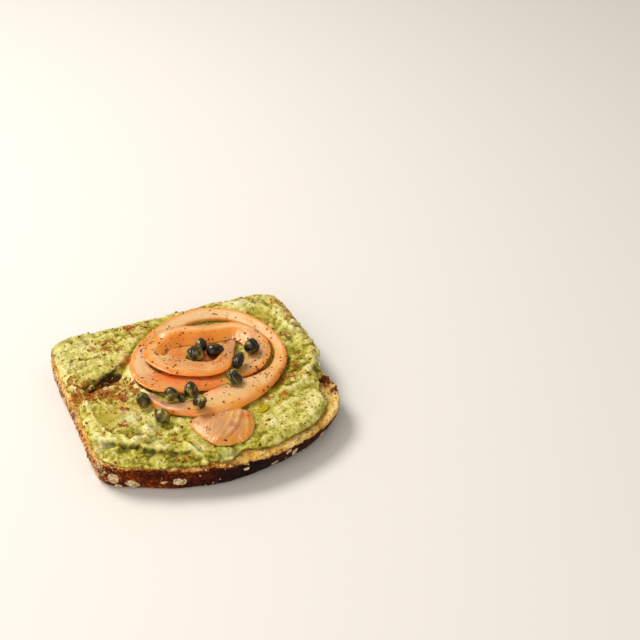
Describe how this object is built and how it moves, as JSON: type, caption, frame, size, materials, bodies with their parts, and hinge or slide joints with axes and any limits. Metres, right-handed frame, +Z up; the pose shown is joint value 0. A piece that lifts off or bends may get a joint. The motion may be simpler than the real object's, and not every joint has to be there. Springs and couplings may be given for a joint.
{
  "type": "avocado toast",
  "caption": "Slice of oat-crusted brown toast thickly spread with mashed avocado, topped with a loose rosette of smoked salmon and scattered capers.",
  "frame": {"origin": "under the middle of the slice, on the surface it lies on", "axes": "+Z up, +X across the slice along its flat heel, +Y from the domed front crust to the flat heel"},
  "size_m": [0.1227, 0.1125, 0.0278],
  "materials": {
    "bread": "matte",
    "avocado": "moist",
    "salmon": "moist",
    "caper": "moist"
  },
  "bodies": {
    "root": {"bread": "bread", "avocado": "avocado", "salmon_outer": "salmon", "salmon_inner": "salmon", "salmon_tail": "salmon", "caper_01": "caper", "caper_02": "caper", "caper_03": "caper", "caper_04": "caper", "caper_05": "caper", "caper_06": "caper", "caper_07": "caper", "caper_08": "caper", "caper_09": "caper", "caper_10": "caper", "caper_11": "caper", "caper_12": "caper"}
  },
  "joints": []
}
